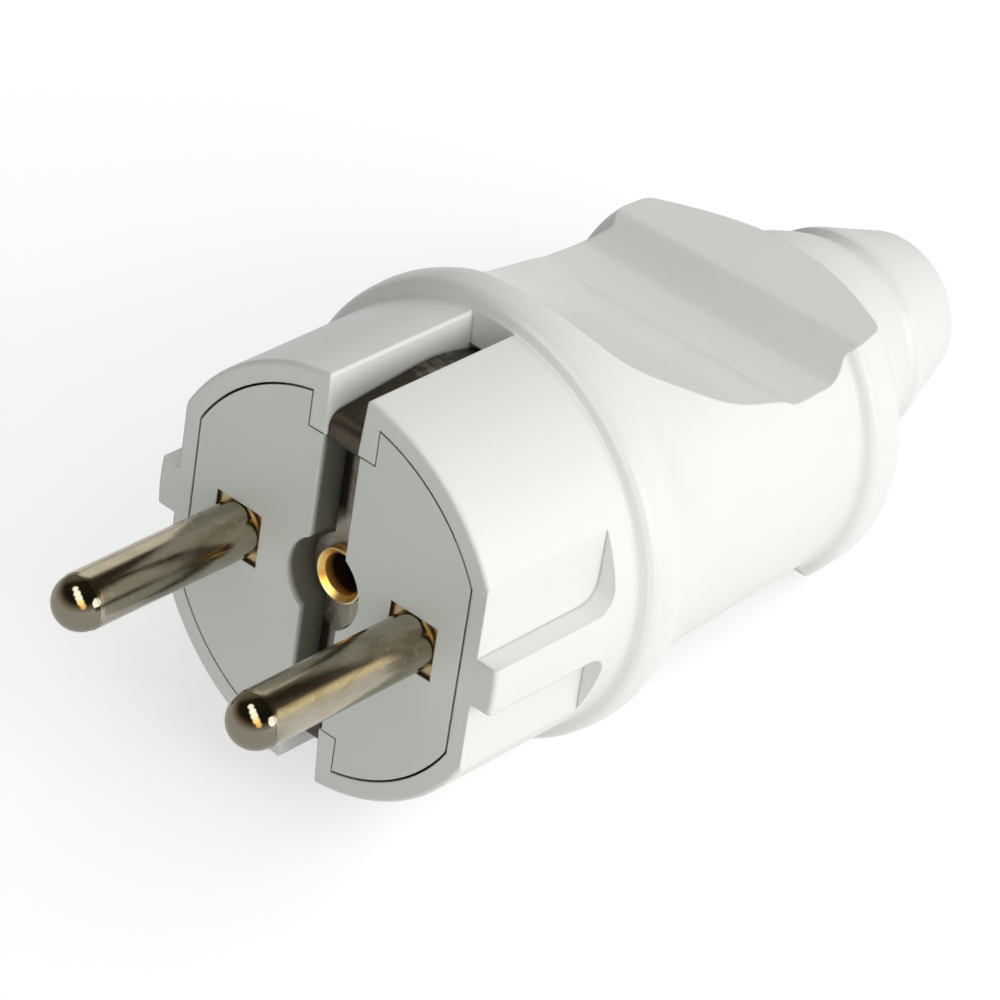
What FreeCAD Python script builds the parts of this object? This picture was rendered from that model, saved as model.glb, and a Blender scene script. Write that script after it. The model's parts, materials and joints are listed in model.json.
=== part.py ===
# Rewireable straight mains plug with two round pins and two side earth contacts.
# Modelled in the plug's own axes: X along the line of the pins, Y from the face (y = 0)
# back to the cord inlet, Z up through the earth slots. At the end every piece is laid
# down together, pins raised, as the plug rests on its flange and on the heel of its grip.
import FreeCAD, Part
import math
import os

V = FreeCAD.Vector
AXIS = V(0, 1, 0)

# A round up to this radius is made of short cones
small_round = 3.0

# Pins
pin_radius = 2.4
pin_neck_radius = pin_radius - 0.25
pin_neck_length = 0.05
pin_length = 19.3
pin_half_spacing = 9.5
pin_dome_length = pin_radius
pin_dome_step = 0.06
pin_spigot_radius = 0.67 * pin_radius
pin_spigot_length = 7.0

# Skirt that enters the socket
skirt_radius = 18.35
skirt_edge_round = 0.4
flat_depth = 2.15
flat_half_width = skirt_radius - flat_depth
flat_length = 13.7
rib_half_height = 2.1
flat_corner_round = 2.0

# Slots over the earth contacts
slot_half_width = 2.05
slot_foot_half_width = 1.72
slot_edge_bevel = 0.35
slot_length = 16.2
slot_depth = 5.35
slot_foot_height = skirt_radius - slot_depth
rail_half_width = slot_foot_half_width + 1.78

# Flange
flange_rise = 1.4
flange_y = slot_length + 2.7
flange_radius = skirt_radius + flange_rise
flange_front_y = slot_length - 0.35
flange_front_blend = 0.6
flange_front_angle = 70.0
flange_top_lean = 10.0
flange_rear_crown = 5.0
flange_rear_blend = 20.0

# Grip and the ring behind it
grip_drop = 2.75
grip_radius = flange_radius - grip_drop
grip_draft = 2.2
grip_length = 27.5
ring_foot_y = flange_y + grip_length
ring_rise = 1.1
ring_blend = 0.8
ring_crown = 1.2
ring_edge_y = ring_foot_y + 4.0
ring_edge_drop = 0.1
shoulder_round = 1.4
back_face_angle = 54.0

# Nose with two steps
bulge_length = 7.15
nose_foot_radius = 12.0
nose_foot_blend = 1.2
nose_foot_slope = 17.0
bulge_end_radius = 9.5
bulge_crown = 0.28
valley_length = 0.65
valley_depth = 0.37
lip_length = 1.1
lip_radius = bulge_end_radius + 0.05
tip_length = 6.85
tip_radius = 7.2
nose_end_length = 2.0
nose_end_radius = tip_radius - 2.0
cord_bore_radius = 4.2
cord_bore_length = 13.6

# Finger scoops, above and below
scoop_depth = 10.7
scoop_low_height = flange_radius - scoop_depth
scoop_low_setback = 4.6
scoop_low_y = ring_foot_y - scoop_low_setback
scoop_wall_foot_y = ring_foot_y - 2.5
plateau_front_y = ring_foot_y + 1.8
plateau_rise = 2.3
plateau_slope = 0.1
plateau_run = 12.0
lower_heel_rise = 0.65

# Contact carrier and the pocket for it
rim_wall_flat = 1.5
rim_wall_round = 1.75
carrier_gap = 0.2
carrier_depth = slot_length + 1.2
carrier_wall = 1.7
carrier_face_thickness = 5.2
carrier_kink_round = 0.9
channel_half_width = 2.0
channel_round_radius = 3.9
notch_clearance = 0.12
pin_hole_side = 2 * pin_radius + 0.16

# Wiring chamber
chamber_radius = flange_radius - 4.95
chamber_front_length = 6.6
chamber_grip_y = carrier_depth + chamber_front_length
chamber_rear_radius = chamber_radius - 1.6
chamber_rear_y = ring_foot_y - 0.4
chamber_neck_radius = 2 * cord_bore_radius
chamber_neck_y = ring_foot_y + 4.6
chamber_wall = 3.0

# Screw boss in the chamber
assembly_radius = 1.25
boss_wall = 2.15
boss_front_y = carrier_depth + 4.6
boss_length = 6.8
boss_rear_y = boss_front_y + boss_length
boss_web_half = 1.5

# Small screws
screw_radius = 1.5
screw_head_radius = screw_radius + 1.1
screw_head_height = 1.8
screw_slot_width = 0.8
screw_slot_depth = 0.9
screw_pocket_clearance = 0.3
screw_tip_gap = 0.8

# Terminals behind the pins
terminal_side = pin_hole_side - 0.1
terminal_tower_wall = 1.4
terminal_front_y = 0.35
terminal_rear_y = carrier_depth - 1.0
wire_bore_radius = 1.6
wire_bore_depth = 6.6
terminal_screw_y = terminal_rear_y - 3.5

# Earth strap, whose outer face is given
strap_thickness = 0.7
strap_half_width = slot_foot_half_width - 0.07
strap_front_y = 2.7
strap_eye_radius = channel_round_radius - 0.5
strap_fold_height = slot_foot_height - 0.8
strap_fold_y = 0.25
strap_shoulder_height = slot_foot_height + 1.85
strap_crest_y = slot_length - 4.3
strap_crest_height = slot_foot_height + 3.0
strap_bend_y = slot_length + 0.4
strap_bend_height = slot_foot_height + 1.95
strap_end_y = carrier_depth + 1.6
strap_end_height = slot_foot_height
strap_rounds = [0.5, 0.85, 1.3, 14.0, 3.0]
strap_passage_half = strap_half_width + 0.35
strap_passage_height = slot_foot_height + 2.35
strap_passage_y = strap_end_y + 1.0

# Centre bushing and the screw that holds the plug together
bushing_radius = 2.4
bushing_wall = 0.6
bushing_mouth_wall = 0.14
bushing_bore_radius = bushing_radius - bushing_wall
bushing_front_y = 1.8
bushing_seat_y = carrier_depth - 5.4
bushing_tail_bore_radius = assembly_radius + 0.15
bushing_collar_radius = bushing_radius + 0.9
bushing_collar_thickness = 0.6
assembly_head_radius = bushing_bore_radius - 0.06
assembly_head_height = 2.0

# Earth terminal on the back of the carrier
earth_plate_thickness = 0.8
earth_plate_half_width = 3.6
earth_plate_margin = 3.5
earth_plate_corner = 1.0
earth_screw_height = -7.6
earth_screw_shank = 6.2
earth_washer_radius = screw_head_radius + 0.6
earth_washer_thickness = 0.7

# Cord clamp on the carrier's tail
clamp_cord_radius = 3.0
clamp_cord_height = 7.4
clamp_floor = 0.7
clamp_screw_radius = 1.2
clamp_head_radius = clamp_screw_radius + 0.6
clamp_head_height = 1.2
clamp_screw_depth = 4.4
clamp_post_inner = clamp_cord_radius + 0.7
clamp_post_outer = clamp_post_inner + 3 * clamp_screw_radius
clamp_post_length = 5.4
clamp_post_front_y = carrier_depth + 1.6
clamp_post_height = clamp_cord_height + 2.2
clamp_bar_thickness = 1.5
clamp_bar_corner = 1.2
clamp_shelf_thickness = 1.4
tail_rear_y = clamp_post_front_y + clamp_post_length


def yr(y, radius):
    """A point of a turned outline, radius along X."""
    return V(radius, y, 0)


def yz(y, z, x=0.0):
    return V(x, y, z)


def line(a, b):
    return Part.LineSegment(a, b).toShape()


def curve(points, start, end):
    """A smooth edge through a few points, with the directions of its ends."""
    spline = Part.BSplineCurve()
    spline.interpolate(Points=points, InitialTangent=start, FinalTangent=end)
    return spline.toShape()


def chain(points):
    return [line(a, b) for a, b in zip(points, points[1:])]


def bend(start, radius, lean_from, lean_to):
    """Edges of a round in a turned outline, by how far the surface leans back, in degrees.
    A positive radius is a crown and a negative one is a hollow. A small round is a few
    short cones, which look the same and keep the mesh light."""
    def out(lean):
        return V(math.cos(math.radians(lean)), math.sin(math.radians(lean)), 0) * radius

    def at(lean):
        return start - out(lean_from) + out(lean)

    if abs(radius) > small_round:
        return [Part.Arc(start, at((lean_from + lean_to) / 2), at(lean_to)).toShape()], at(lean_to)
    steps = math.ceil(abs(lean_to - lean_from) / 20)
    leans = [lean_from + (lean_to - lean_from) * i / steps for i in range(steps + 1)]
    return chain([start] + [at(lean) for lean in leans[1:]]), at(lean_to)


def face_of(edges):
    return Part.Face(Part.Wire(edges))


def turned(edges):
    """A solid turned about the plug's axis from one outline."""
    return face_of(edges).revolve(V(0, 0, 0), AXIS, 360)


def rod(radius, start_y, end_y, x=0.0, z=0.0):
    return Part.makeCylinder(radius, end_y - start_y, V(x, start_y, z), AXIS)


def block(x0, x1, y0, y1, z0, z1):
    return Part.makeBox(x1 - x0, y1 - y0, z1 - z0, V(x0, y0, z0))


def mirrored_z(shape):
    return shape.mirror(V(0, 0, 0), V(0, 0, 1))


def mirrored_x(shape):
    return shape.mirror(V(0, 0, 0), V(1, 0, 0))


def both_ends(shape):
    """The same form at the top and at the bottom."""
    return shape.fuse(mirrored_z(shape))


def single(shape):
    """The one solid of a shape, with leftover seams removed."""
    clean = shape.removeSplitter()
    return clean.Solids[0] if len(clean.Solids) == 1 else clean


def rounded_corner(before, corner, after, radius):
    """The two tangent points and the middle point of an arc at a corner."""
    a = (before - corner).normalize()
    b = (after - corner).normalize()
    half = a.getAngle(b) / 2
    reach = radius / math.tan(half)
    middle_dir = (a + b).normalize()
    centre = corner + middle_dir * (radius / math.sin(half))
    return corner + a * reach, centre - middle_dir * radius, corner + b * reach


def rounded_path(points, radii):
    """Edges along a row of points, with an arc of its own radius at each inner point."""
    edges = []
    last = points[0]
    for i in range(1, len(points) - 1):
        start, middle, end = rounded_corner(points[i - 1], points[i], points[i + 1], radii[i - 1])
        edges.append(line(last, start))
        edges.append(Part.Arc(start, middle, end).toShape())
        last = end
    edges.append(line(last, points[-1]))
    return edges


def beside(points, distance):
    """A row of points in the YZ plane moved sideways, as the edge of a bent strip."""
    moved = []
    for i, point in enumerate(points):
        dirs = []
        if i > 0:
            dirs.append((point - points[i - 1]).normalize())
        if i < len(points) - 1:
            dirs.append((points[i + 1] - point).normalize())
        normals = [V(0, -d.z, d.y) for d in dirs]
        if len(normals) == 1:
            moved.append(point + normals[0] * distance)
        else:
            middle = (normals[0] + normals[1]).normalize()
            moved.append(point + middle * (distance / middle.dot(normals[0])))
    return moved


def bent_strip(points, radii, thickness, half_width):
    """A strip bent along a row of points on its outer face, with its width along X."""
    inner_radii = []
    for i in range(1, len(points) - 1):
        before = points[i] - points[i - 1]
        after = points[i + 1] - points[i]
        turn = before.y * after.z - before.z * after.y
        inner_radii.append(radii[i - 1] + math.copysign(thickness, turn))
    inner = beside(points, -thickness)
    edges = rounded_path(points, radii)
    edges.append(line(points[-1], inner[-1]))
    edges += rounded_path(inner[::-1], inner_radii[::-1])
    edges.append(line(inner[0], points[0]))
    face = face_of(edges)
    face.translate(V(-half_width, 0, 0))
    return face.extrude(V(2 * half_width, 0, 0))


def keyed_outline(radius, half_width, y):
    """A round outline with two flats, as the face of the plug has."""
    kink = math.sqrt(radius * radius - half_width * half_width)
    corners = [V(s * half_width, y, t * kink) for s, t in ((1, 1), (-1, 1), (-1, -1), (1, -1))]
    top = V(0, y, radius)
    bottom = V(0, y, -radius)
    edges = [
        Part.Arc(corners[0], top, corners[1]).toShape(),
        line(corners[1], corners[2]),
        Part.Arc(corners[2], bottom, corners[3]).toShape(),
        line(corners[3], corners[0]),
    ]
    return face_of(edges)


def keyed_prism(radius, half_width, start_y, end_y, kink_round=0.0):
    prism = keyed_outline(radius, half_width, start_y).extrude(V(0, end_y - start_y, 0))
    if kink_round > 0:
        along = [e for e in prism.Edges if e.BoundBox.YLength > 1]
        prism = prism.makeFillet(kink_round, along)
    return prism


# Housing

def flange_rounds():
    """The radii of the flange's front edge and of its top, which meet its crest at flange_y."""
    steep = math.radians(flange_front_angle)
    gentle = math.radians(flange_top_lean)
    rise = flange_rise - flange_front_blend * (1 - math.cos(steep))
    run = flange_y - flange_front_y - flange_front_blend * math.sin(steep)
    edge_rise = math.cos(gentle) - math.cos(steep)
    edge_run = math.sin(steep) - math.sin(gentle)
    top_rise = 1 - math.cos(gentle)
    top_run = math.sin(gentle)
    both = edge_rise * top_run - top_rise * edge_run
    return (rise * top_run - run * top_rise) / both, (run * edge_rise - rise * edge_run) / both


def flange_outline():
    """The skirt's edge, the flange with its steep front and the start of the grip."""
    r = skirt_edge_round
    edge_round, top_round = flange_rounds()
    sum_rear = flange_rear_crown + flange_rear_blend
    draft = math.radians(grip_draft)
    drop = flange_radius - grip_radius
    cos_rear = (flange_rear_crown + flange_rear_blend * math.cos(draft) - drop) / sum_rear
    lean_rear = math.degrees(math.acos(cos_rear))
    round_edge, skirt_front = bend(yr(0, skirt_radius - r), r, -90, 0)
    foot = yr(flange_front_y, skirt_radius)
    blend_front, at = bend(foot, -flange_front_blend, 0, -flange_front_angle)
    edge_front, at = bend(at, edge_round, -flange_front_angle, -flange_top_lean)
    crown_front, at = bend(at, top_round, -flange_top_lean, 0)
    crown_rear, at = bend(at, flange_rear_crown, 0, lean_rear)
    blend_rear, at = bend(at, -flange_rear_blend, lean_rear, grip_draft)
    edges = [line(yr(0, 0), yr(0, skirt_radius - r))] + round_edge
    edges.append(line(skirt_front, foot))
    return edges + blend_front + edge_front + crown_front + crown_rear + blend_rear, at


def ring_outline(grip_start):
    """The grip, the ring's step and its rounded shoulder, down the back face."""
    foot_radius = grip_start.x - (ring_foot_y - grip_start.y) * math.tan(math.radians(grip_draft))
    foot = yr(ring_foot_y, foot_radius)
    rise = ring_rise + ring_blend * (1 - math.cos(math.radians(grip_draft)))
    lean = math.degrees(math.acos(1 - rise / (ring_blend + ring_crown)))
    blend, at = bend(foot, -ring_blend, grip_draft, -lean)
    crown, crest = bend(at, ring_crown, -lean, 0)
    edge_start = yr(ring_edge_y, crest.x - ring_edge_drop)
    shoulder, back = bend(edge_start, shoulder_round, grip_draft, back_face_angle)
    run = (back.x - nose_foot_radius) / math.tan(math.radians(back_face_angle))
    foot_of_nose = yr(back.y + run, nose_foot_radius)
    edges = [line(grip_start, foot)] + blend + crown + [line(crest, edge_start)] + shoulder
    return edges + [line(back, foot_of_nose)], foot_of_nose


def nose_outline(foot):
    """The nose: a long bulge, a valley, a lip and the tapered tip, down to the axis."""
    blend, at = bend(foot, -nose_foot_blend, back_face_angle, nose_foot_slope)
    end_y = foot.y + bulge_length
    middle = yr((at.y + end_y) / 2, (at.x + bulge_end_radius) / 2 + bulge_crown)
    bulge_end = yr(end_y, bulge_end_radius)
    valley_y = end_y + valley_length
    lip_y = valley_y + lip_length
    tip_y = lip_y + tip_length
    tip = yr(tip_y, tip_radius)
    drop = tip_radius - nose_end_radius
    rim = [yr(tip_y + nose_end_length * a, tip_radius - drop * b)
           for a, b in ((0.42, 0.14), (0.78, 0.44), (1, 1))]
    valley = [
        yr(end_y + 0.5 * valley_length, bulge_end_radius - 0.9 * valley_depth),
        yr(valley_y, bulge_end_radius - valley_depth),
        yr(valley_y + 0.36 * lip_length, lip_radius - 0.25),
        yr(valley_y + 0.72 * lip_length, lip_radius),
        yr(lip_y + 0.2, lip_radius - 0.03),
        yr(lip_y + 0.9, lip_radius - 0.24),
    ]
    end = yr(rim[-1].y, 0)
    outline = [bulge_end] + valley + [tip] + rim + [end, yr(0, 0)]
    return blend + [Part.Arc(at, middle, bulge_end).toShape()] + chain(outline)


def nose_end(body):
    """How far back the nose reaches."""
    return body.BoundBox.YMax


def housing_body():
    """The turned form of the housing: skirt, flange, grip, ring and stepped nose."""
    skirt, grip_start = flange_outline()
    ring, nose_foot = ring_outline(grip_start)
    return turned(skirt + ring + nose_outline(nose_foot))


def scoop_edges(inset, heel_rise=0.0):
    """The side view of a scoop from the flange to past the heel, moved in by a wall.
    The lower scoop's plateau is higher, as the plug rests on the rear edge of it."""
    plateau = scoop_low_height + plateau_rise + heel_rise
    drop = flange_radius - scoop_low_height
    run = scoop_low_y - flange_y
    rise = plateau - scoop_low_height
    climb = plateau_front_y - scoop_wall_foot_y
    slide = [
        yz(flange_y + run * 0.018, flange_radius + drop * 0.06 - inset),
        yz(flange_y + run * 0.05, flange_radius - drop * 0.05 - inset),
        yz(flange_y + run * 0.145, flange_radius - drop * 0.266 - inset),
        yz(flange_y + run * 0.253, flange_radius - drop * 0.43 - inset),
        yz(flange_y + run * 0.421, flange_radius - drop * 0.626 - inset),
        yz(flange_y + run * 0.661, flange_radius - drop * 0.846 - inset),
        yz(flange_y + run * 0.864, flange_radius - drop * 0.958 - inset),
        yz(scoop_low_y, scoop_low_height - inset),
    ]
    step = [
        yz(scoop_wall_foot_y, scoop_low_height - inset),
        yz(scoop_wall_foot_y + climb * 0.30, scoop_low_height + rise * 0.12 - inset),
        yz(scoop_wall_foot_y + climb * 0.58, scoop_low_height + rise * 0.42 - inset),
        yz(scoop_wall_foot_y + climb * 0.80, scoop_low_height + rise * 0.84 - inset),
        yz(plateau_front_y, plateau - inset),
    ]
    end = yz(plateau_front_y + plateau_run, plateau + plateau_slope * plateau_run - inset)
    edges = [
        curve(slide, V(0, 0.45, -0.89), V(0, 1, 0)),
        line(slide[-1], step[0]),
        curve(step, V(0, 1, 0), V(0, 1, plateau_slope)),
        line(step[-1], end),
    ]
    return edges, slide[0], end


def scoop_cutter(heel_rise=0.0):
    """Everything outside the upper scoop."""
    edges, start, end = scoop_edges(0.0, heel_rise)
    over = flange_radius + 6
    face = face_of(edges + chain([end, yz(end.y, over), yz(start.y, over), start]))
    face.translate(V(-flange_radius - 2, 0, 0))
    return face.extrude(V(2 * flange_radius + 4, 0, 0))


def flat_pocket():
    """One of the four keying recesses: a flat floor, the rib's side and a rear wall."""
    far = skirt_radius + 2
    corner = rounded_corner(yz(-1, rib_half_height), yz(flat_length, rib_half_height),
                            yz(flat_length, far), flat_corner_round)
    edges = [line(yz(-1, rib_half_height), corner[0]), Part.Arc(*corner).toShape()]
    edges += chain([corner[2], yz(flat_length, far), yz(-1, far), yz(-1, rib_half_height)])
    face = face_of(edges)
    face.translate(V(flat_half_width, 0, 0))
    return face.extrude(V(far - flat_half_width, 0, 0))


def slot_cutter():
    """The slot over the upper earth contact, narrower at its foot, with bevelled edges."""
    widen = (slot_half_width - slot_foot_half_width) / (skirt_radius - slot_foot_height)
    foot = slot_foot_height - 1
    foot_half = slot_foot_half_width - widen
    edge = skirt_radius - slot_edge_bevel
    bevelled = slot_half_width + slot_edge_bevel
    side = [(foot_half, foot), (slot_half_width, edge), (bevelled, skirt_radius), (bevelled, skirt_radius + 3)]
    corners = [V(x, -1, z) for x, z in side] + [V(-x, -1, z) for x, z in reversed(side)]
    return face_of(chain(corners + corners[:1])).extrude(V(0, slot_length + 1, 0))


def cavity(rear_y):
    """The hollow: a pocket for the carrier, then the wiring chamber and the cord bore."""
    pocket_radius = skirt_radius - rim_wall_round
    pocket_flat = flat_half_width - rim_wall_flat
    pocket = keyed_prism(pocket_radius, pocket_flat, -1, carrier_depth)
    bore_front_y = rear_y - cord_bore_length
    chamber = turned(chain([
        yr(carrier_depth, 0),
        yr(carrier_depth, chamber_radius),
        yr(chamber_grip_y, chamber_radius),
        yr(chamber_rear_y, chamber_rear_radius),
        yr(chamber_neck_y, chamber_neck_radius),
        yr(bore_front_y, cord_bore_radius),
        yr(bore_front_y, 0),
        yr(carrier_depth, 0),
    ]))
    edges, start, end = scoop_edges(chamber_wall)
    front = yz(carrier_depth - 2, start.z)
    inner = face_of(edges + chain([end, yz(end.y, 0), yz(front.y, 0), front, start]))
    inner.translate(V(-flange_radius, 0, 0))
    between = both_ends(inner.extrude(V(2 * flange_radius, 0, 0)))
    bore = rod(cord_bore_radius, chamber_neck_y, rear_y + 1)
    return pocket.fuse([chamber.common(between), bore])


def slot_rails():
    """The side walls of the upper slot, which reach in as guides beside the earth strap."""
    top = skirt_radius - rim_wall_round + 0.4
    return block(-rail_half_width, rail_half_width, 0, carrier_depth, slot_foot_height, top)


def strap_passage():
    """The gap under the slot's rear wall where the strap enters the hollow."""
    return block(-strap_passage_half, strap_passage_half, slot_length - 0.2, strap_passage_y,
                 slot_foot_height - 0.1, strap_passage_height)


def boss():
    """The post that the assembly screw bites into, on a web from the lower wall."""
    post = rod(assembly_radius + boss_wall, boss_front_y, boss_rear_y)
    web = block(-boss_web_half, boss_web_half, boss_front_y, boss_rear_y, -skirt_radius, 0)
    return post.fuse(web).cut(rod(assembly_radius, boss_front_y - 1, boss_rear_y + 1))


def make_housing():
    body = housing_body()
    body = body.cut([scoop_cutter(), mirrored_z(scoop_cutter(lower_heel_rise))])
    pockets = both_ends(flat_pocket())
    body = body.cut([pockets, mirrored_x(pockets)])
    shell = body.cut(cavity(nose_end(body)))
    rails = slot_rails()
    shell = shell.fuse([rails, mirrored_z(rails), boss().common(body)])
    slot = slot_cutter()
    passage = strap_passage()
    return single(shell.cut([slot, mirrored_z(slot), passage, mirrored_z(passage)]))


# Contact carrier

def terminal_tower(side):
    """The square tower behind the face that holds one terminal."""
    half = pin_hole_side / 2 + terminal_tower_wall
    x = side * pin_half_spacing
    return block(x - half, x + half, 0, carrier_depth, -half, half)


def make_carrier():
    radius = skirt_radius - rim_wall_round - carrier_gap
    half_width = flat_half_width - rim_wall_flat - carrier_gap
    outer = keyed_prism(radius, half_width, 0, carrier_depth, carrier_kink_round)
    inner = keyed_prism(radius - carrier_wall, half_width - carrier_wall, carrier_face_thickness,
                        carrier_depth + 1)
    spine_half = rail_half_width + carrier_wall
    spine = block(-spine_half, spine_half, 0, carrier_depth, -radius, radius)
    body = outer.cut(inner.cut(spine.fuse([terminal_tower(1), terminal_tower(-1)])))
    reach = rail_half_width + notch_clearance
    notch = block(-reach, reach, -1, carrier_depth + 1, slot_foot_height - notch_clearance, radius + 1)
    channel_depth = strap_front_y + strap_thickness
    channel = block(-channel_half_width, channel_half_width, -1, channel_depth, -radius, radius)
    well = rod(channel_round_radius, -1, channel_depth)
    cuts = [notch, mirrored_z(notch), channel.fuse(well), rod(bushing_radius, 0, carrier_depth + 1)]
    half = pin_hole_side / 2
    for side in (1, -1):
        x = side * pin_half_spacing
        cuts.append(block(x - half, x + half, -1, carrier_depth + 1, -half, half))
        seat = V(x + side * terminal_side / 2, terminal_screw_y, 0)
        pocket_radius = screw_head_radius + screw_pocket_clearance
        cuts.append(Part.makeCylinder(pocket_radius, radius, seat, V(side, 0, 0)))
    shank_radius = screw_radius + screw_pocket_clearance
    cuts.append(rod(shank_radius, carrier_depth - earth_screw_shank, carrier_depth + 1, 0, earth_screw_height))
    return single(body.cut(cuts).fuse(clamp_tail()))


def clamp_tail():
    """The shelf and two posts behind the carrier that the cord lies between."""
    bottom = clamp_cord_height - clamp_cord_radius - clamp_floor
    shelf = block(-clamp_post_outer, clamp_post_outer, carrier_depth, tail_rear_y,
                  bottom, bottom + clamp_shelf_thickness)
    posts = []
    holes = [rod(clamp_cord_radius, carrier_depth, tail_rear_y + 1, 0, clamp_cord_height)]
    for side in (1, -1):
        x0, x1 = sorted((side * clamp_post_inner, side * clamp_post_outer))
        posts.append(block(x0, x1, clamp_post_front_y, tail_rear_y, bottom, clamp_post_height))
        foot = V(side * clamp_screw_x(), clamp_screw_y(), clamp_post_height - clamp_screw_depth)
        holes.append(Part.makeCylinder(clamp_screw_radius, clamp_screw_depth + 1, foot))
    return shelf.fuse(posts).cut(holes)


def clamp_screw_x():
    return (clamp_post_inner + clamp_post_outer) / 2


def clamp_screw_y():
    return (clamp_post_front_y + tail_rear_y) / 2


# Pins, terminals and their screws

def make_pin(side):
    """A round pin with a domed end and a spigot pressed into the terminal."""
    x = side * pin_half_spacing
    dome = pin_radius - pin_dome_step
    base = -(pin_length - pin_dome_length)
    middle = yr(base - pin_dome_length * math.sqrt(0.5), dome * math.sqrt(0.5))
    spigot_end = terminal_front_y + pin_spigot_length
    dome_arc = Part.Arc(yr(-pin_length, 0), middle, yr(base, dome)).toShape()
    edges = [dome_arc] + chain([
        yr(base, dome),
        yr(base + pin_dome_step, pin_radius),
        yr(-pin_neck_length, pin_radius),
        yr(-pin_neck_length, pin_neck_radius),
        yr(terminal_front_y, pin_neck_radius),
        yr(terminal_front_y, pin_spigot_radius),
        yr(spigot_end, pin_spigot_radius),
        yr(spigot_end, 0),
        yr(-pin_length, 0),
    ])
    pin = turned(edges)
    pin.translate(V(x, 0, 0))
    return single(pin)


def make_terminal(side):
    half = terminal_side / 2
    x = side * pin_half_spacing
    body = block(x - half, x + half, terminal_front_y, terminal_rear_y, -half, half)
    return single(body.cut([
        rod(pin_spigot_radius, terminal_front_y - 1, terminal_front_y + pin_spigot_length, x),
        rod(wire_bore_radius, terminal_rear_y - wire_bore_depth, terminal_rear_y + 1, x),
        Part.makeCylinder(screw_radius, half + 1, V(x, terminal_screw_y, 0), V(side, 0, 0)),
    ]))


def slotted_screw(shank, radius=screw_radius, head_radius=screw_head_radius,
                  head_height=screw_head_height):
    """A cheese-head screw with its seat at the origin, its shank down -Z."""
    head = Part.makeCylinder(head_radius, head_height)
    rim = [e for e in head.Edges if e.BoundBox.ZMin > head_height - 0.01]
    head = head.makeChamfer(head_height * 0.15, rim)
    body = head.fuse(Part.makeCylinder(radius, shank, V(0, 0, -shank)))
    slot = block(-head_radius, head_radius, -screw_slot_width / 2, screw_slot_width / 2,
                 head_height - screw_slot_depth, head_height + 1)
    return single(body.cut(slot))


def placed_screw(screw, seat, out):
    """A screw moved to its seat, its head pointing along out."""
    moved = screw.copy()
    moved.Placement = FreeCAD.Placement(seat, FreeCAD.Rotation(V(0, 0, 1), out))
    return moved


def make_terminal_screw(side):
    half = terminal_side / 2
    seat = V(side * (pin_half_spacing + half), terminal_screw_y, 0)
    return placed_screw(slotted_screw(half), seat, V(side, 0, 0))


# Earth strap

def make_earth_contact():
    """One strip: the run across the face, the eye and the two sprung side contacts."""
    points = [
        yz(strap_front_y, 0),
        yz(strap_front_y, strap_fold_height),
        yz(strap_fold_y, strap_fold_height),
        yz(strap_fold_y, strap_shoulder_height),
        yz(strap_crest_y, strap_crest_height),
        yz(strap_bend_y, strap_bend_height),
        yz(strap_end_y, strap_end_height),
    ]
    upper = bent_strip(points, strap_rounds, strap_thickness, strap_half_width)
    eye = rod(strap_eye_radius, strap_front_y, strap_front_y + strap_thickness)
    strap = upper.fuse([mirrored_z(upper), eye])
    return single(strap.cut(rod(bushing_radius, 0, carrier_depth)))


# Centre bushing, assembly screw and earth terminal

def plate_rear_y():
    return carrier_depth + earth_plate_thickness


def make_bushing():
    """A turned brass tube: a countersunk mouth, a well for the screw's head and a narrow bore."""
    rear = plate_rear_y() + bushing_collar_thickness
    mouth_radius = bushing_radius - bushing_mouth_wall
    countersink = mouth_radius - bushing_bore_radius
    return single(turned(chain([
        yr(bushing_front_y, mouth_radius),
        yr(bushing_front_y + 0.4 * bushing_mouth_wall, bushing_radius),
        yr(plate_rear_y(), bushing_radius),
        yr(plate_rear_y(), bushing_collar_radius),
        yr(rear, bushing_collar_radius),
        yr(rear, bushing_tail_bore_radius),
        yr(bushing_seat_y, bushing_tail_bore_radius),
        yr(bushing_seat_y, bushing_bore_radius),
        yr(bushing_front_y + countersink, bushing_bore_radius),
        yr(bushing_front_y, mouth_radius),
    ])))


def make_assembly_screw():
    shank = boss_rear_y - screw_tip_gap - bushing_seat_y
    screw = slotted_screw(shank, assembly_radius, assembly_head_radius, assembly_head_height)
    return placed_screw(screw, V(0, bushing_seat_y, 0), V(0, -1, 0))


def make_earth_terminal():
    """The brass plate behind the carrier that joins the earth wire to the bushing."""
    plate = block(-earth_plate_half_width, earth_plate_half_width, carrier_depth, plate_rear_y(),
                  earth_screw_height - earth_plate_margin, earth_plate_margin)
    corners = [e for e in plate.Edges if e.BoundBox.YLength > earth_plate_thickness / 2]
    plate = plate.makeFillet(earth_plate_corner, corners)
    return single(plate.cut([
        rod(bushing_radius, 0, ring_foot_y),
        rod(screw_radius, 0, ring_foot_y, 0, earth_screw_height),
    ]))


def make_earth_washer():
    start = plate_rear_y()
    ring = rod(earth_washer_radius, start, start + earth_washer_thickness, 0, earth_screw_height)
    return single(ring.cut(rod(screw_radius, 0, ring_foot_y, 0, earth_screw_height)))


def make_earth_screw():
    seat = V(0, plate_rear_y() + earth_washer_thickness, earth_screw_height)
    return placed_screw(slotted_screw(earth_screw_shank), seat, V(0, 1, 0))


# Cord clamp

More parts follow.
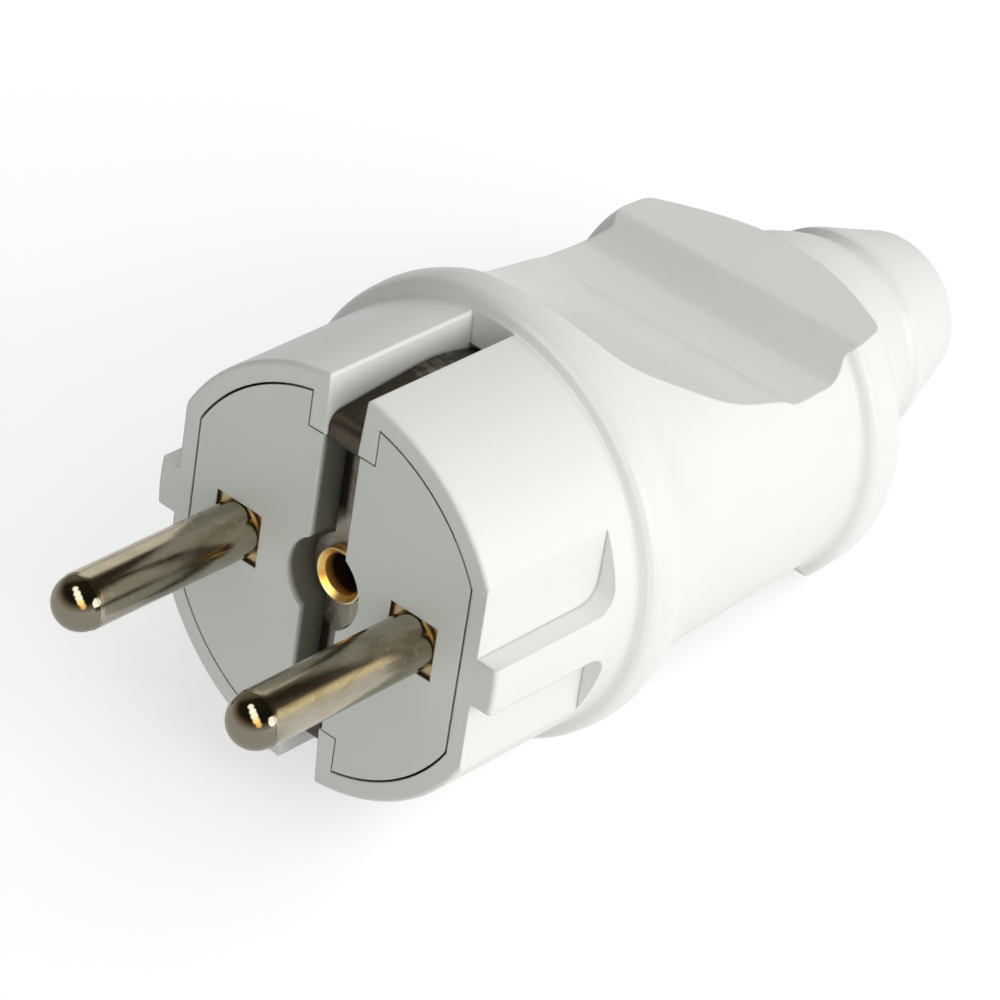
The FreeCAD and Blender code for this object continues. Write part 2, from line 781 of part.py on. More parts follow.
def make_clamp_bar():
    """The bar that holds the cord's sheath down on the shelf."""
    top = clamp_post_height + clamp_bar_thickness
    bar = block(-clamp_post_outer, clamp_post_outer, clamp_post_front_y, tail_rear_y, clamp_post_height, top)
    corners = [e for e in bar.Edges if e.BoundBox.ZLength > clamp_bar_thickness / 2]
    bar = bar.makeFillet(clamp_bar_corner, corners)
    cuts = [rod(clamp_cord_radius, carrier_depth, tail_rear_y + 1, 0, clamp_cord_height)]
    for side in (1, -1):
        foot = V(side * clamp_screw_x(), clamp_screw_y(), 0)
        cuts.append(Part.makeCylinder(clamp_screw_radius, 2 * clamp_post_height, foot))
    return single(bar.cut(cuts))


def make_clamp_screw(side):
    seat = V(side * clamp_screw_x(), clamp_screw_y(), clamp_post_height + clamp_bar_thickness)
    shank = clamp_bar_thickness + clamp_screw_depth
    screw = slotted_screw(shank, clamp_screw_radius, clamp_head_radius, clamp_head_height)
    return placed_screw(screw, seat, V(0, 0, 1))


# Rest

def lowest(points, tilt):
    """The point that touches the floor first when the plug is turned by a tilt."""
    return min(points, key=lambda p: p.z * math.cos(tilt) - p.y * math.sin(tilt))


def rest_tilt(housing):
    """The angle at which the flange and the heel of the grip touch one floor."""
    outline = [p for wire in housing.slice(V(1, 0, 0), 0.0) for p in wire.discretize(Distance=0.05)]
    front = [p for p in outline if p.z < 0 and p.y < scoop_low_y]
    rear = [p for p in outline if p.z < 0 and p.y > scoop_low_y]
    tilt = 0.2
    for _ in range(6):
        a = lowest(front, tilt)
        b = lowest(rear, tilt)
        tilt = math.atan2(b.z - a.z, b.y - a.y)
    print("rest points y %.2f z %.2f and y %.2f z %.2f" % (a.y, a.z, b.y, b.z))
    return math.degrees(tilt)


def lay_down(pieces):
    """Turns every piece by the rest tilt and puts the lowest point on the floor."""
    tilt = rest_tilt(pieces["housing"])
    turn = FreeCAD.Rotation(V(1, 0, 0), -tilt)
    for shape in pieces.values():
        shape.Placement = FreeCAD.Placement(V(0, 0, 0), turn).multiply(shape.Placement)
    boxes = [shape.optimalBoundingBox(False, False) for shape in pieces.values()]
    low = min(box.ZMin for box in boxes)
    middle_y = (min(box.YMin for box in boxes) + max(box.YMax for box in boxes)) / 2
    for shape in pieces.values():
        shape.Placement = FreeCAD.Placement(V(0, -middle_y, -low), FreeCAD.Rotation()).multiply(shape.Placement)
    print("rest tilt %.4f, middle y %.4f, low z %.4f" % (tilt, middle_y, low))


def make_pieces():
    return {
        "housing": make_housing(),
        "contact_carrier": make_carrier(),
        "left_pin": make_pin(-1),
        "right_pin": make_pin(1),
        "left_terminal": make_terminal(-1),
        "right_terminal": make_terminal(1),
        "left_terminal_screw": make_terminal_screw(-1),
        "right_terminal_screw": make_terminal_screw(1),
        "earth_contact": make_earth_contact(),
        "center_bushing": make_bushing(),
        "assembly_screw": make_assembly_screw(),
        "earth_terminal": make_earth_terminal(),
        "earth_clamp_washer": make_earth_washer(),
        "earth_terminal_screw": make_earth_screw(),
        "cord_clamp_bar": make_clamp_bar(),
        "left_clamp_screw": make_clamp_screw(-1),
        "right_clamp_screw": make_clamp_screw(1),
    }


def main():
    os.makedirs("parts", exist_ok=True)
    pieces = make_pieces()
    lay_down(pieces)
    for name, shape in pieces.items():
        shape.exportStep("parts/%s.step" % name)
        print("%-22s solids %d valid %s volume %.1f" % (name, len(shape.Solids), shape.isValid(), shape.Volume))


main()
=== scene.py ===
import bpy
import bmesh
import json
import math
from mathutils import Vector, Matrix, Euler

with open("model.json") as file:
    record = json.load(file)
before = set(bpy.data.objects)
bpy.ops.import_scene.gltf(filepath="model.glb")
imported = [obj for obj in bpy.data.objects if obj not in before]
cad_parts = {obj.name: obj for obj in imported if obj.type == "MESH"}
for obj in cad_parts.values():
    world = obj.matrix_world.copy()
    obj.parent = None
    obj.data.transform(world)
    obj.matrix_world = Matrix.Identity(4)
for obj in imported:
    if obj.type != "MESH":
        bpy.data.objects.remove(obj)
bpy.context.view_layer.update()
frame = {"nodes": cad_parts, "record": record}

scene = bpy.context.scene
nodes = frame["nodes"]
mm = 0.001

# how the plug lies: its own axes turned about X, then set down on the floor
rest = {"tilt": 11.4775, "middleY": 26.6625, "low": -23.2197}

# the pins stand this far from the middle; along them lie the dome's centre and its buffed part's start
pinPlace = {"halfSpacing": 0.0095, "domeStart": -0.0171, "domeCentre": -0.0166}


def plugTurn():
    return Matrix.Rotation(math.radians(rest["tilt"]), 3, "X")


# materials

def newMaterial(name):
    material = bpy.data.materials.new(name)
    material.use_nodes = True
    tree = material.node_tree
    tree.nodes.clear()
    output = tree.nodes.new("ShaderNodeOutputMaterial")
    shader = tree.nodes.new("ShaderNodeBsdfPrincipled")
    tree.links.new(shader.outputs["BSDF"], output.inputs["Surface"])
    return material, tree, shader


def plugSpace(tree, stretch=(1, 1, 1)):
    # object coordinates turned into the plug's own axes, with Y from the face back to the nose
    coords = tree.nodes.new("ShaderNodeTexCoord")
    mapping = tree.nodes.new("ShaderNodeMapping")
    mapping.inputs["Rotation"].default_value = (math.radians(rest["tilt"]), 0, 0)
    shift = Vector((0, -rest["middleY"], -rest["low"])) * mm
    mapping.inputs["Location"].default_value = -(plugTurn() @ shift)
    tree.links.new(coords.outputs["Object"], mapping.inputs["Vector"])
    if stretch == (1, 1, 1):
        return mapping.outputs["Vector"]
    scaled = tree.nodes.new("ShaderNodeMapping")
    scaled.inputs["Scale"].default_value = stretch
    tree.links.new(mapping.outputs["Vector"], scaled.inputs["Vector"])
    return scaled.outputs["Vector"]


def part(tree, vector, axis):
    node = tree.nodes.new("ShaderNodeSeparateXYZ")
    tree.links.new(vector, node.inputs["Vector"])
    return node.outputs[axis]


def reckon(tree, operation, a, b=None):
    node = tree.nodes.new("ShaderNodeMath")
    node.operation = operation
    for socket, value in zip(node.inputs, (a, b)):
        if value is None:
            continue
        if isinstance(value, (int, float)):
            socket.default_value = value
        else:
            tree.links.new(value, socket)
    return node.outputs["Value"]


def product(tree, first, *others):
    for other in others:
        first = reckon(tree, "MULTIPLY", first, other)
    return first


def distance(tree, value, place):
    return reckon(tree, "ABSOLUTE", reckon(tree, "SUBTRACT", value, place))


def mapRange(tree, value, low, high, toLow, toHigh):
    node = tree.nodes.new("ShaderNodeMapRange")
    node.inputs["From Min"].default_value = low
    node.inputs["From Max"].default_value = high
    node.inputs["To Min"].default_value = toLow
    node.inputs["To Max"].default_value = toHigh
    tree.links.new(value, node.inputs["Value"])
    return node.outputs["Result"]


def rising(tree, value, span, top=1.0):
    return mapRange(tree, value, *span, 0.0, top)


def falling(tree, value, span, top=1.0):
    return mapRange(tree, value, *span, top, 0.0)


def noise(tree, vector, scale, detail, roughness, distortion=0.0):
    node = tree.nodes.new("ShaderNodeTexNoise")
    node.inputs["Scale"].default_value = scale
    node.inputs["Detail"].default_value = detail
    node.inputs["Roughness"].default_value = roughness
    node.inputs["Distortion"].default_value = distortion
    tree.links.new(vector, node.inputs["Vector"])
    return node.outputs["Fac"]


def ramp(tree, value, stops):
    node = tree.nodes.new("ShaderNodeValToRGB")
    while len(node.color_ramp.elements) < len(stops):
        node.color_ramp.elements.new(0.5)
    for element, (place, colour) in zip(node.color_ramp.elements, stops):
        element.position = place
        element.color = (*colour, 1.0)
    tree.links.new(value, node.inputs["Fac"])
    return node.outputs["Color"]


def mixColour(tree, factor, a, b):
    node = tree.nodes.new("ShaderNodeMix")
    node.data_type = "RGBA"
    tree.links.new(factor, node.inputs["Factor"])
    for socket, value in ((node.inputs["A"], a), (node.inputs["B"], b)):
        if isinstance(value, tuple):
            socket.default_value = (*value, 1.0)
        else:
            tree.links.new(value, socket)
    return node.outputs["Result"]


def bump(tree, height, strength, depth, before):
    node = tree.nodes.new("ShaderNodeBump")
    node.inputs["Strength"].default_value = strength
    node.inputs["Distance"].default_value = depth
    tree.links.new(height, node.inputs["Height"])
    tree.links.new(before, node.inputs["Normal"])
    return node.outputs["Normal"]


def dotWith(tree, vector, direction):
    node = tree.nodes.new("ShaderNodeVectorMath")
    node.operation = "DOT_PRODUCT"
    tree.links.new(vector, node.inputs[0])
    if isinstance(direction, (tuple, Vector)):
        node.inputs[1].default_value = direction
    else:
        tree.links.new(direction, node.inputs[1])
    return node.outputs["Value"]


def softEdges(tree, radius):
    # the normal across a moulded or tumbled edge, and how near the edge is
    values = {"samples": 6, "turned": (0.995, 0.90)}
    soft = tree.nodes.new("ShaderNodeBevel")
    soft.samples = values["samples"]
    soft.inputs["Radius"].default_value = radius
    plain = tree.nodes.new("ShaderNodeNewGeometry")
    alike = dotWith(tree, soft.outputs["Normal"], plain.outputs["Normal"])
    return soft.outputs["Normal"], rising(tree, alike, values["turned"])


def creviceShade(tree, tint, creviceShadeColour, reach):
    # painted shade, darker where another surface comes very near, as in the gap round the carrier
    values = {"samples": 4, "open": (0.15, 0.55)}
    node = tree.nodes.new("ShaderNodeAmbientOcclusion")
    node.samples = values["samples"]
    node.inputs["Distance"].default_value = reach
    return mixColour(tree, falling(tree, node.outputs["AO"], values["open"]), tint, creviceShadeColour)


# the part of its range that a noise really fills
noiseSpan = (0.1, 0.9)


def whitePlastic():
    values = {
        "colour": (0.838, 0.845, 0.824), "cloud": (0.815, 0.823, 0.803), "clouds": (60, 2.0, 0.45),
        "cloudSpan": (0.15, 0.85), "edge": (0.86, 0.865, 0.85), "edgeRadius": 0.00022,
        "creviceShadeColour": (0.07, 0.055, 0.03), "gap": 0.00045,
        "roughness": (0.285, 0.36), "polish": (200, 2.0, 0.5), "polishShare": 0.7,
        "flowStretch": (1, 0.12, 1), "flow": (240, 2.0, 0.45), "flowShare": 0.3,
        "wave": (330, 0.0, 0.4), "waveBump": (0.05, 0.00006), "flowBump": (0.03, 0.00005),
        "ior": 1.49, "softness": 0.05, "softRadius": (0.0012, 0.0011, 0.0010)}
    material, tree, shader = newMaterial("whitePlastic")
    vector = plugSpace(tree)
    normal, edge = softEdges(tree, values["edgeRadius"])
    # the moulding is a little cloudy and paler along its edges, with painted shade in its gaps
    clouds = noise(tree, vector, *values["clouds"])
    tint = ramp(tree, clouds, list(zip(values["cloudSpan"], (values["cloud"], values["colour"]))))
    tint = mixColour(tree, edge, tint, values["edge"])
    tint = creviceShade(tree, tint, values["creviceShadeColour"], values["gap"])
    tree.links.new(tint, shader.inputs["Base Color"])
    # its gloss follows the mould's polish and the flow of the plastic
    flowLines = noise(tree, plugSpace(tree, values["flowStretch"]), *values["flow"])
    polish = product(tree, noise(tree, vector, *values["polish"]), values["polishShare"])
    mixed = reckon(tree, "ADD", polish, product(tree, flowLines, values["flowShare"]))
    tree.links.new(mapRange(tree, mixed, *noiseSpan, *values["roughness"]), shader.inputs["Roughness"])
    wave = bump(tree, noise(tree, vector, *values["wave"]), *values["waveBump"], normal)
    tree.links.new(bump(tree, flowLines, *values["flowBump"], wave), shader.inputs["Normal"])
    shader.inputs["IOR"].default_value = values["ior"]
    shader.inputs["Subsurface Weight"].default_value = values["softness"]
    shader.inputs["Subsurface Radius"].default_value = values["softRadius"]
    return material


def greyPlastic():
    values = {
        "colour": (0.800, 0.842, 0.800), "cloud": (0.765, 0.808, 0.768), "clouds": (90, 2.0, 0.5),
        "cloudSpan": (0.15, 0.85), "edge": (0.85, 0.87, 0.85), "edgeRadius": 0.00012,
        "creviceShadeColour": (0.06, 0.045, 0.025), "gap": 0.00045,
        "channelShade": 0.94, "channelShadeColour": (0.150, 0.150, 0.118), "channelHalf": (0.0043, 0.0046),
        "shadeDepth": (0.0001, 0.0007), "shadeEnd": (0.007, 0.009),
        "holeShadeColour": (0.075, 0.062, 0.040), "holeHalf": (0.0028, 0.0029),
        "holeDepth": (0.00003, 0.00010),
        "roughness": (0.34, 0.48), "polish": (320, 2.0, 0.5), "wave": (420, 0.0, 0.4),
        "waveBump": (0.05, 0.00006), "grain": (5200, 2.0, 0.5), "grainBump": (0.08, 0.00001),
        "ior": 1.47}
    material, tree, shader = newMaterial("greyPlastic")
    vector = plugSpace(tree)
    normal, edge = softEdges(tree, values["edgeRadius"])
    clouds = noise(tree, vector, *values["clouds"])
    tint = ramp(tree, clouds, list(zip(values["cloudSpan"], (values["cloud"], values["colour"]))))
    tint = mixColour(tree, edge, tint, values["edge"])
    # painted shade: the walls of the channel and of its round well darken below their edges
    across = reckon(tree, "ABSOLUTE", part(tree, vector, "X"))
    inward = part(tree, vector, "Y")
    inFront = falling(tree, inward, values["shadeEnd"])
    nearMiddle = falling(tree, across, values["channelHalf"])
    belowEdge = rising(tree, inward, values["shadeDepth"])
    channelShade = product(tree, nearMiddle, belowEdge, inFront, values["channelShade"])
    tint = mixColour(tree, channelShade, tint, values["channelShadeColour"])
    # and painted shade darkens the walls of the pins' square holes too
    besidePin = falling(tree, distance(tree, across, pinPlace["halfSpacing"]), values["holeHalf"])
    inHole = rising(tree, inward, values["holeDepth"])
    tint = mixColour(tree, product(tree, besidePin, inHole, inFront), tint, values["holeShadeColour"])
    # painted shade in the gaps round the carrier
    tint = creviceShade(tree, tint, values["creviceShadeColour"], values["gap"])
    tree.links.new(tint, shader.inputs["Base Color"])
    polish = noise(tree, vector, *values["polish"])
    tree.links.new(mapRange(tree, polish, *noiseSpan, *values["roughness"]), shader.inputs["Roughness"])
    wave = bump(tree, noise(tree, vector, *values["wave"]), *values["waveBump"], normal)
    grain = bump(tree, noise(tree, vector, *values["grain"]), *values["grainBump"], wave)
    tree.links.new(grain, shader.inputs["Normal"])
    shader.inputs["IOR"].default_value = values["ior"]
    return material


def metalCoat(name, own, smoothNormal=None):
    # scratches run along the plug, stains lie in long patches, edges are rubbed bright
    values = {
        "patchStretch": (1, 0.30, 1), "patchDetail": (4.0, 0.62, 0.6), "patchStops": (0.40, 0.56, 0.68),
        "spotNoise": (1500, 3.0, 0.6), "spotSpan": (0.62, 0.72),
        "scratchStretch": (1, 0.05, 1), "scratchNoise": (6500, 3.0, 0.7), "scratchDepth": 0.000012,
        "blurSpan": (0.75, 1.25), "dentNoise": (620, 2.0, 0.5), "dentDepth": 0.00008, **own}
    material, tree, shader = newMaterial(name)
    vector = plugSpace(tree)
    normal, edge = softEdges(tree, values["edgeRadius"])
    if smoothNormal is not None:
        normal = smoothNormal(tree, vector)
    lengthwise = plugSpace(tree, values["patchStretch"])
    patches = noise(tree, lengthwise, values["patchScale"], *values["patchDetail"])
    shades = (values["colour"], values["stain"], values["deepStain"])
    tint = ramp(tree, patches, list(zip(values["patchStops"], shades)))
    spots = rising(tree, noise(tree, vector, *values["spotNoise"]), values["spotSpan"], values["spots"])
    tint = mixColour(tree, spots, tint, values["spotColour"])
    tint = mixColour(tree, product(tree, edge, values["rub"]), tint, values["rubbed"])
    tree.links.new(tint, shader.inputs["Base Color"])
    shader.inputs["Metallic"].default_value = 1.0
    scratches = noise(tree, plugSpace(tree, values["scratchStretch"]), *values["scratchNoise"])
    marks = reckon(tree, "ADD", scratches, patches)
    blur = mapRange(tree, marks, *values["blurSpan"], *values["roughness"])
    tree.links.new(blur, shader.inputs["Roughness"])
    fine = bump(tree, scratches, values["scratch"], values["scratchDepth"], normal)
    dents = noise(tree, vector, *values["dentNoise"])
    tree.links.new(bump(tree, dents, values["dents"], values["dentDepth"], fine), shader.inputs["Normal"])
    return material, tree, shader, {"tint": tint, "blur": blur, "vector": vector}


def pinNormal(tree, vector):
    # the normal of a true cylinder that runs on into a true dome, in place of the facets' own
    beside = part(tree, vector, "X")
    besideAxis = reckon(tree, "SUBTRACT", reckon(tree, "ABSOLUTE", beside), pinPlace["halfSpacing"])
    past = reckon(tree, "SUBTRACT", part(tree, vector, "Y"), pinPlace["domeCentre"])
    outward = tree.nodes.new("ShaderNodeCombineXYZ")
    tree.links.new(product(tree, besideAxis, reckon(tree, "SIGN", beside)), outward.inputs["X"])
    tree.links.new(reckon(tree, "MINIMUM", past, 0.0), outward.inputs["Y"])
    tree.links.new(part(tree, vector, "Z"), outward.inputs["Z"])
    turned = tree.nodes.new("ShaderNodeVectorRotate")
    turned.rotation_type = "X_AXIS"
    turned.inputs["Angle"].default_value = -math.radians(rest["tilt"])
    tree.links.new(outward.outputs["Vector"], turned.inputs["Vector"])
    unit = tree.nodes.new("ShaderNodeVectorMath")
    unit.operation = "NORMALIZE"
    tree.links.new(turned.outputs["Vector"], unit.inputs[0])
    return unit.outputs["Vector"]


def nickelPins():
    values = {
        "colour": (0.425, 0.385, 0.310), "stain": (0.355, 0.315, 0.240),
        "deepStain": (0.235, 0.200, 0.140), "spotColour": (0.62, 0.60, 0.54),
        "rubbed": (0.50, 0.48, 0.43), "rub": 0.3, "spots": 0.45, "patchScale": 300,
        "roughness": (0.13, 0.265), "scratch": 0.40, "dents": 0.07, "edgeRadius": 0.00001,
        "domeColour": (0.235, 0.212, 0.168), "domeRoughness": 0.045, "domeBlend": 0.00002,
        "lineHalf": (0.00005, 0.00008), "lineColour": (0.055, 0.047, 0.034), "lineShare": 0.5}
    material, tree, shader, made = metalCoat("nickelPins", values, pinNormal)
    # the domes are buffed to a mirror and end in a fine turned line
    lengthAlong = part(tree, made["vector"], "Y")
    start = pinPlace["domeStart"]
    dome = falling(tree, lengthAlong, (start - values["domeBlend"], start + values["domeBlend"]))
    line = falling(tree, distance(tree, lengthAlong, start), values["lineHalf"], values["lineShare"])
    buffed = mixColour(tree, dome, made["tint"], values["domeColour"])
    tree.links.new(mixColour(tree, line, buffed, values["lineColour"]), shader.inputs["Base Color"])
    satin = product(tree, made["blur"], reckon(tree, "SUBTRACT", 1.0, dome))
    blur = reckon(tree, "ADD", satin, product(tree, dome, values["domeRoughness"]))
    tree.links.new(blur, shader.inputs["Roughness"])
    return material


def brass():
    values = {
        "colour": (0.46, 0.36, 0.19), "stain": (0.40, 0.30, 0.15), "deepStain": (0.30, 0.21, 0.09),
        "spotColour": (0.66, 0.55, 0.34), "rubbed": (0.80, 0.70, 0.48), "rub": 0.5, "spots": 0.2,
        "patchScale": 500, "roughness": (0.285, 0.37), "scratch": 0.12, "dents": 0.04,
        "edgeRadius": 0.00008, "mouth": (0.0018, 0.0048), "mouthEdge": (0.0, 0.01),
        "lipHighlight": (0.82, 0.71, 0.47), "gold": (0.84, 0.52, 0.16), "amber": (0.62, 0.27, 0.05),
        "deepShade": (0.022, 0.008, 0.002), "boreLightStops": (0.0, 0.05, 0.18, 0.30, 0.46),
        "bushingHalf": (0.0024, 0.0025), "bushingShare": 0.95,
        "dullFrom": (0.10, 0.22), "dullMetal": 0.25}
    material, tree, shader, made = metalCoat("brass", values)
    # painted light and shade by depth: a painted highlight at the bushing's lip, painted golden and amber
    # light inside, and painted shade deep in its bore
    depth = rising(tree, part(tree, made["vector"], "Y"), values["mouth"])
    bore = [values[shade] for shade in ("lipHighlight", "gold", "gold", "amber", "deepShade")]
    shades = ramp(tree, depth, list(zip(values["boreLightStops"], bore)))
    across = reckon(tree, "ABSOLUTE", part(tree, made["vector"], "X"))
    near = falling(tree, across, values["bushingHalf"], values["bushingShare"])
    inBushing = product(tree, rising(tree, depth, values["mouthEdge"]), near)
    tree.links.new(mixColour(tree, inBushing, made["tint"], shades), shader.inputs["Base Color"])
    # the bore's wall is made less metallic, so that its painted amber still shows below the mouth
    dull = mapRange(tree, depth, *values["dullFrom"], 1.0, values["dullMetal"])
    outside = reckon(tree, "SUBTRACT", 1.0, inBushing)
    metal = reckon(tree, "ADD", outside, product(tree, inBushing, dull))
    tree.links.new(metal, shader.inputs["Metallic"])
    return material


def dullNickel():
    values = {
        "colour": (0.360, 0.335, 0.292), "stain": (0.275, 0.250, 0.210),
        "deepStain": (0.150, 0.130, 0.100), "spotColour": (0.55, 0.53, 0.48),
        "rubbed": (0.46, 0.44, 0.40), "rub": 0.4, "spots": 0.4, "patchScale": 380,
        "roughness": (0.34, 0.50), "scratch": 0.30, "dents": 0.10, "edgeRadius": 0.00008,
        "slotShade": (0.050, 0.041, 0.030), "slotShadeFrom": (0.0113, 0.0119), "slotShadeShare": 0.88,
        "glintNoise": (900, 3.0, 0.6), "glintSpan": (0.50, 0.66), "glintShare": 0.45,
        "glintFrom": (0.006, 0.010),
        "sideShade": (0.022, 0.018, 0.013), "sideShadeShare": 0.95, "bandSide": (-0.00095, -0.00060),
        "bandFoot": (0.0042, 0.0056), "bandTop": (0.0118, 0.0121), "bandDepth": (0.0024, 0.0026)}
    material, tree, shader, made = metalCoat("dullNickel", values)
    height = reckon(tree, "ABSOLUTE", part(tree, made["vector"], "Z"))
    inward = part(tree, made["vector"], "Y")
    # painted shade darkens the run under the slot, left out in spots as painted glints
    glintField = noise(tree, made["vector"], *values["glintNoise"])
    glints = product(tree, rising(tree, glintField, values["glintSpan"], values["glintShare"]),
                   rising(tree, inward, values["glintFrom"]))
    kept = reckon(tree, "SUBTRACT", values["slotShadeShare"], glints)
    upper = product(tree, rising(tree, height, values["slotShadeFrom"]), kept)
    tint = mixColour(tree, upper, made["tint"], values["slotShade"])
    # painted shade: a dark band runs along the left of the strip's run across the face
    beside = falling(tree, part(tree, made["vector"], "X"), values["bandSide"], values["sideShadeShare"])
    sideShade = product(tree, beside, rising(tree, height, values["bandFoot"]),
                     rising(tree, inward, values["bandDepth"]),
                     falling(tree, height, values["bandTop"]))
    tint = mixColour(tree, sideShade, tint, values["sideShade"])
    tree.links.new(tint, shader.inputs["Base Color"])
    return material


def zincScrews():
    values = {
        "colour": (0.60, 0.61, 0.62), "stain": (0.50, 0.50, 0.49), "deepStain": (0.38, 0.37, 0.34),
        "spotColour": (0.72, 0.73, 0.74), "rubbed": (0.78, 0.79, 0.80), "rub": 0.5, "spots": 0.3,
        "patchScale": 600, "roughness": (0.285, 0.40), "scratch": 0.25, "dents": 0.08,
        "edgeRadius": 0.00008}
    return metalCoat("zincScrews", values)[0]


finishes = {
    "housing": whitePlastic(),
    "carrier": greyPlastic(),
    "pins": nickelPins(),
    "brass": brass(),
    "earth_strap": dullNickel(),
    "screws": zincScrews(),
}
finishes["clamp"] = finishes["carrier"]
print("materials made")

slotOf = {entry["node"]: entry["material_slot"] for entry in frame["record"]["subparts"]}
for name, node in nodes.items():
    node.data.materials.clear()
    node.data.materials.append(finishes[slotOf[name]])
print("CAD nodes finished")


# floor, light and camera

def seenRay(tree, kinds):
    # one where the ray is of one of these kinds
    path = tree.nodes.new("ShaderNodeLightPath")
    seen = path.outputs[kinds[0]]
    for kind in kinds[1:]:
        seen = reckon(tree, "MAXIMUM", seen, path.outputs[kind])
    return seen


def makeFloor():
    values = {
        "size": 3.0, "drop": 0.0001, "colour": (0.80, 0.80, 0.79), "roughness": 0.9, "gloss": 0.1,
        "seenColour": (0.90, 0.90, 0.90), "seenGlow": 0.43, "mirroredGlow": 0.33}
    mesh = bpy.data.meshes.new("floor")
    bm = bmesh.new()
    bmesh.ops.create_grid(bm, x_segments=1, y_segments=1, size=values["size"])
    bm.to_mesh(mesh)
    bm.free()
    floor = bpy.data.objects.new("floor", mesh)
    scene.collection.objects.link(floor)
    floor.location.z = -values["drop"]
    # the camera sees it nearly white and metal a little darker; light meets its plain colour
    material, tree, shader = newMaterial("paleFloor")
    shader.inputs["Roughness"].default_value = values["roughness"]
    shader.inputs["Specular IOR Level"].default_value = values["gloss"]
    seen = seenRay(tree, ("Is Camera Ray", "Is Glossy Ray", "Is Transmission Ray"))
    tint = mixColour(tree, seen, values["colour"], values["seenColour"])
    tree.links.new(tint, shader.inputs["Base Color"])
    shader.inputs["Emission Color"].default_value = (1, 1, 1, 1)
    inPicture = product(tree, seenRay(tree, ("Is Camera Ray",)), values["seenGlow"])
    inMetal = product(tree, seen, values["mirroredGlow"])
    tree.links.new(reckon(tree, "MAXIMUM", inPicture, inMetal), shader.inputs["Emission Strength"])
    floor.data.materials.append(material)


def softSpot(tree, direction, spot, below):
    # one patch of the room that metal mirrors: a lamp, a lit wall or a dark corner
    around, height = (math.radians(angle) for angle in spot["at"])
    flat = math.cos(height)
    towards = (flat * math.cos(around), flat * math.sin(around), math.sin(height))
    outer, inner = (math.cos(math.radians(angle)) for angle in spot["radii"])
    inside = rising(tree, dotWith(tree, direction, towards), (outer, inner))
    return mixColour(tree, inside, below, spot["colour"])


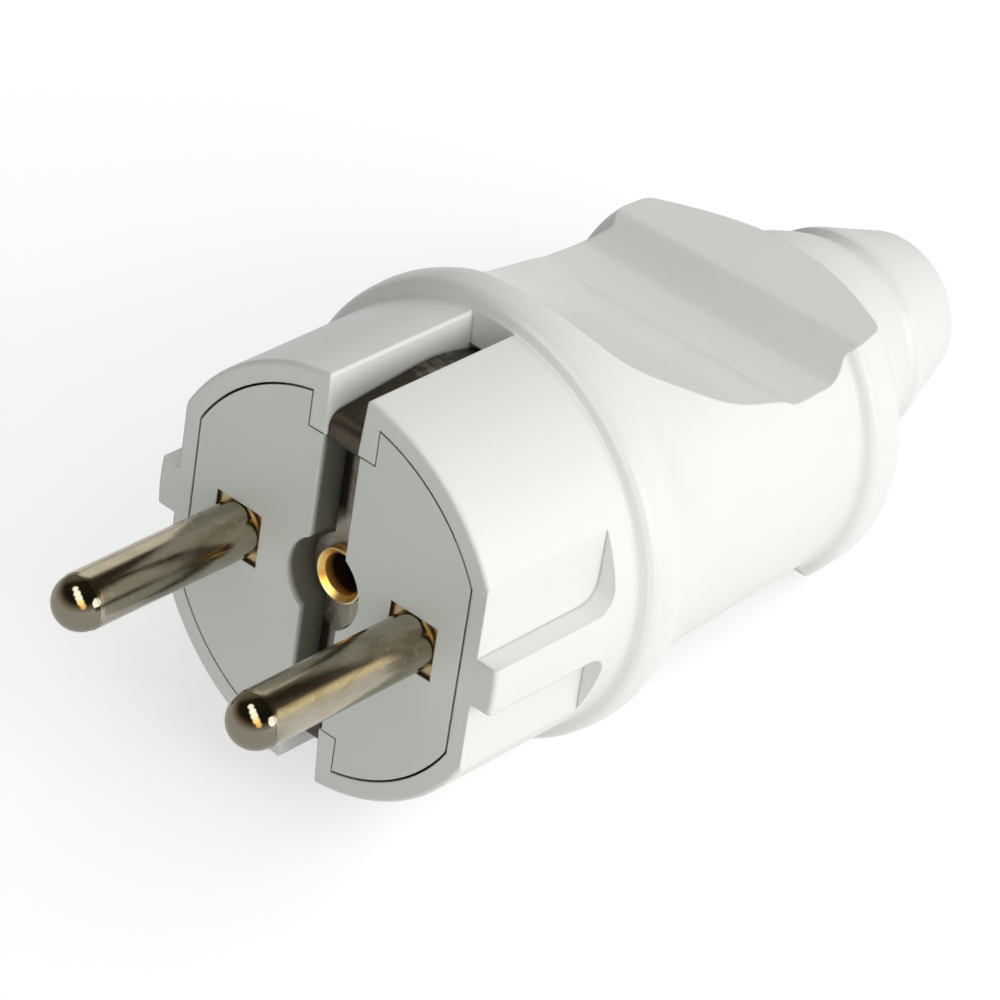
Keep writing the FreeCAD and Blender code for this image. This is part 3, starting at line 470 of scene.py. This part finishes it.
def makeWorld():
    # a studio lit from the right; metal mirrors its pale walls, dark ceiling and row of lamps
    values = {
        "towards": (1.0, 0.07, -0.03), "bright": 1.19, "dim": 0.02, "overNose": 0.3,
        "light": (1.0, 0.997, 0.985), "white": 1.0,
        "room": [(0.0, (0.85, 0.84, 0.80)), (0.14, (0.62, 0.58, 0.50)), (0.28, (0.38, 0.33, 0.25)),
                 (0.42, (0.13, 0.10, 0.065)), (0.54, (0.045, 0.034, 0.020)), (1.0, (0.05, 0.04, 0.02))],
        "spots": [{"at": (47, 9), "radii": (18, 8), "colour": (1.55, 1.40, 0.95)},
                  {"at": (150, 22), "radii": (42, 14), "colour": (0.36, 0.32, 0.24)},
                  {"at": (125, 18), "radii": (23, 17), "colour": (1.15, 1.10, 0.98)},
                  {"at": (-14, 48), "radii": (26, 14), "colour": (0.03, 0.03, 0.03)},
                  {"at": (-44, 22), "radii": (12, 7), "colour": (3.6, 2.2, 0.8)},
                  {"at": (-54, 36), "radii": (14, 9), "colour": (4.6, 3.4, 1.6)},
                  {"at": (-66, 50), "radii": (14, 10), "colour": (4.6, 4.3, 3.6)},
                  {"at": (-88, 62), "radii": (13, 9), "colour": (4.6, 4.5, 4.2)},
                  {"at": (-130, 66), "radii": (11, 7), "colour": (4.4, 4.3, 4.2)}]}
    world = bpy.data.worlds.new("studio")
    scene.world = world
    world.use_nodes = True
    world.cycles.sampling_method = "NONE"
    tree = world.node_tree
    tree.nodes.clear()
    output = tree.nodes.new("ShaderNodeOutputWorld")
    direction = tree.nodes.new("ShaderNodeTexCoord").outputs["Generated"]

    # the light itself falls off evenly from right to left, with a little more from over the nose
    facing = dotWith(tree, direction, Vector(values["towards"]).normalized())
    level = mapRange(tree, facing, -1.0, 1.0, values["dim"], values["bright"])
    backAndUp = product(tree, part(tree, direction, "Y"), part(tree, direction, "Z"), values["overNose"])
    level = reckon(tree, "MAXIMUM", reckon(tree, "ADD", level, backAndUp), values["dim"])
    studio = tree.nodes.new("ShaderNodeBackground")
    studio.inputs["Color"].default_value = (*values["light"], 1.0)
    tree.links.new(level, studio.inputs["Strength"])

    # the room that is mirrored, by height, with its spots
    colour = ramp(tree, part(tree, direction, "Z"), values["room"])
    for spot in values["spots"]:
        colour = softSpot(tree, direction, spot, colour)
    room = tree.nodes.new("ShaderNodeBackground")
    tree.links.new(colour, room.inputs["Color"])

    # and the white that the camera sees
    white = tree.nodes.new("ShaderNodeBackground")
    white.inputs["Strength"].default_value = values["white"]
    mirrored = tree.nodes.new("ShaderNodeMixShader")
    tree.links.new(seenRay(tree, ("Is Glossy Ray", "Is Transmission Ray")), mirrored.inputs["Fac"])
    tree.links.new(studio.outputs["Background"], mirrored.inputs[1])
    tree.links.new(room.outputs["Background"], mirrored.inputs[2])
    seen = tree.nodes.new("ShaderNodeMixShader")
    tree.links.new(seenRay(tree, ("Is Camera Ray",)), seen.inputs["Fac"])
    tree.links.new(mirrored.outputs["Shader"], seen.inputs[1])
    tree.links.new(white.outputs["Background"], seen.inputs[2])
    tree.links.new(seen.outputs["Shader"], output.inputs["Surface"])


def makeKeyLamp():
    values = {"place": (0.62, 0.05, 0.22), "target": (0, 0, 0.02), "across": 0.38, "watts": 1.4}
    lamp = bpy.data.lights.new("keyFromRight", "AREA")
    lamp.shape = "DISK"
    lamp.size = values["across"]
    lamp.energy = values["watts"]
    holder = bpy.data.objects.new("keyFromRight", lamp)
    scene.collection.objects.link(holder)
    holder.location = values["place"]
    direction = Vector(values["target"]) - Vector(values["place"])
    holder.rotation_euler = direction.to_track_quat("-Z", "Y").to_euler()


def makeCamera():
    values = {"place": (0.205976, -0.226583, 0.287596), "turn": (48.2794, 0.0778, 43.0144),
              "lens": 180.137, "sensor": 36, "clip": (0.01, 20)}
    camera = bpy.data.cameras.new("photoView")
    camera.sensor_fit = "HORIZONTAL"
    camera.sensor_width = values["sensor"]
    camera.lens = values["lens"]
    camera.clip_start, camera.clip_end = values["clip"]
    holder = bpy.data.objects.new("photoView", camera)
    scene.collection.objects.link(holder)
    holder.location = values["place"]
    holder.rotation_euler = Euler([math.radians(angle) for angle in values["turn"]], "XYZ")
    scene.camera = holder


makeFloor()
makeWorld()
makeKeyLamp()
makeCamera()
scene.view_settings.view_transform = "Standard"
print("stage, lamp and camera made")
